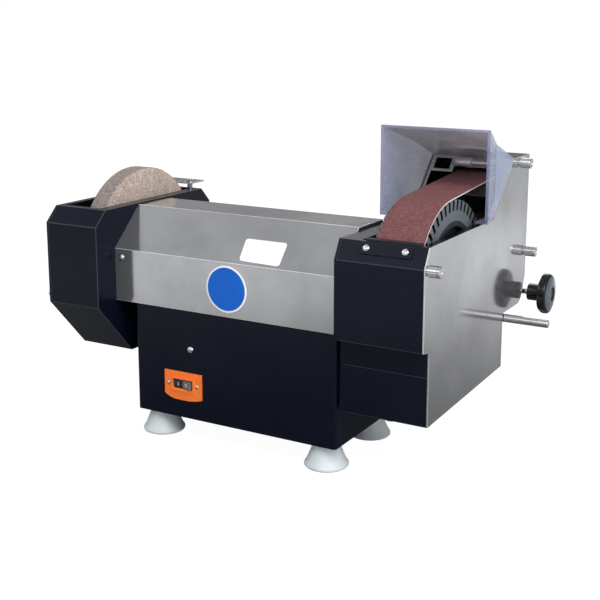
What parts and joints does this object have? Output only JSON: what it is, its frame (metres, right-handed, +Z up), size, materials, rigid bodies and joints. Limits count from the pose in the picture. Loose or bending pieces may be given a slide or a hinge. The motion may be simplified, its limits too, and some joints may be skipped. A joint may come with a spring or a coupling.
{
  "type": "wet grinding sharpener",
  "caption": "Bench sharpener with a wet grinding wheel in an open guard at one end and an abrasive belt over a rubber contact wheel at the other, on a steel cabinet.",
  "frame": {"origin": "middle of the machine's outline, on the plane the rubber feet stand on", "axes": "+Z up, +X along the spindle towards the belt end, +Y from the operator to the back"},
  "size_m": [0.5992, 0.4005, 0.4145],
  "materials": {
    "black_coat": "satin powder coat",
    "hood_steel": "brushed along the hood",
    "cover_steel": "fine brushed, half mirror",
    "bright_steel": "polished",
    "dark_steel": "dull",
    "cast_grey": "cast",
    "winding": "lacquered",
    "foot_rubber": "matt grey-white",
    "black_rubber": "matt",
    "tyre_rubber": "matt blue-grey",
    "stone": "coarse grit, damp",
    "abrasive": "gritty",
    "black_plastic": "glossy",
    "dull_plastic": "satin",
    "cap_plastic": "satin",
    "orange_plastic": "satin gloss",
    "clear_plastic": "clear plastic, slightly scuffed"
  },
  "bodies": {
    "machine": {"cabinet": "black_coat", "feet": "foot_rubber", "foot_studs": "bright_steel", "chassis_plate": "dark_steel", "end_frame_left": "dark_steel", "end_frame_right": "dark_steel", "motor_cradle": "dark_steel", "motor_housing": "cast_grey", "stator": "winding", "end_shields": "cast_grey", "motor_bearings": "bright_steel", "capacitor": "cap_plastic", "shaft_seals": "black_rubber", "hood": "hood_steel", "hood_screws": "bright_steel", "wheel_guard": "black_coat", "guard_cover": "black_coat", "guard_nuts": "bright_steel", "guard_bolts": "dark_steel", "splash_spacers": "bright_steel", "drain_plugs": "dull_plastic", "housing_wall": "black_coat", "front_cover": "black_coat", "trough": "black_coat", "rear_cover": "black_coat", "side_cover": "cover_steel", "cover_studs": "bright_steel", "knurled_nuts": "bright_steel", "slope_plate": "hood_steel", "back_splash": "hood_steel", "lip_strip": "black_coat", "lip_rubber": "black_rubber", "lip_screws": "bright_steel", "water_tray": "dull_plastic", "abrasive_belt": "abrasive", "arm_pivot": "bright_steel", "tension_spring": "bright_steel", "guard_hinge": "bright_steel", "spray_pipe": "bright_steel", "switch_plate": "orange_plastic", "switch_body": "dull_plastic", "small_screws": "bright_steel", "cable_gland": "black_plastic"},
    "spindle_set": {"spindle": "bright_steel", "rotor": "winding", "grinding_wheel": "stone", "wheel_flanges": "cast_grey", "spindle_nuts": "bright_steel", "contact_hub": "cast_grey", "contact_tyre": "tyre_rubber"},
    "splash": {"splash_plate": "hood_steel"},
    "arm": {"tension_arm": "dark_steel", "tension_lever": "bright_steel"},
    "yoke": {"tracking_yoke": "dark_steel", "idler_axle": "bright_steel"},
    "idler": {"idler_roller": "cast_grey", "idler_bearings": "bright_steel"},
    "knob": {"tracking_knob": "black_plastic"},
    "guard": {"clear_guard": "clear_plastic"},
    "rocker": {"switch_rocker": "dull_plastic"}
  },
  "joints": [
    {"name": "spindle_spin", "type": "hinge", "parent": "machine", "child": "spindle_set", "pos_m": [0.0307, -0.068, 0.234], "axis": [1, 0, 0], "continuous": true},
    {"name": "splash_slide", "type": "slide", "parent": "machine", "child": "splash", "axis": [0, 1, 0], "range_m": [-0.006, 0.006]},
    {"name": "arm_swing", "type": "hinge", "parent": "machine", "child": "arm", "pos_m": [0.1458, 0.136, 0.202], "axis": [1, 0, 0], "range_deg": [0, 8], "stiffness_Nm_per_rad": 3, "springref_deg": -20.05, "deforming": ["abrasive_belt", "tension_spring"]},
    {"name": "tracking_turn", "type": "hinge", "parent": "arm", "child": "knob", "pos_m": [0.2456, 0.173, 0.173], "axis": [1, 0, 0], "range_deg": [-360, 360]},
    {"name": "tracking_tilt", "type": "hinge", "parent": "arm", "child": "yoke", "pos_m": [0.1518, 0.126, 0.282], "axis": [0, 1, 0], "range_deg": [-0.8, 0.8]},
    {"name": "idler_spin", "type": "hinge", "parent": "yoke", "child": "idler", "pos_m": [0.1968, 0.126, 0.317], "axis": [1, 0, 0], "continuous": true},
    {"name": "guard_tilt", "type": "hinge", "parent": "machine", "child": "guard", "pos_m": [0.1896, 0.1095, 0.3685], "axis": [-1, 0, 0], "range_deg": [0, 85]},
    {"name": "switch_rock", "type": "hinge", "parent": "machine", "child": "rocker", "pos_m": [-0.1022, -0.1585, 0.078], "axis": [0, 0, 1], "range_deg": [0, 14]}
  ],
  "couplings": [
    {"joint": "idler_spin", "follows": "spindle_spin", "ratio": 3.3333},
    {"joint": "tracking_tilt", "follows": "tracking_turn", "ratio": 0.0022222}
  ]
}
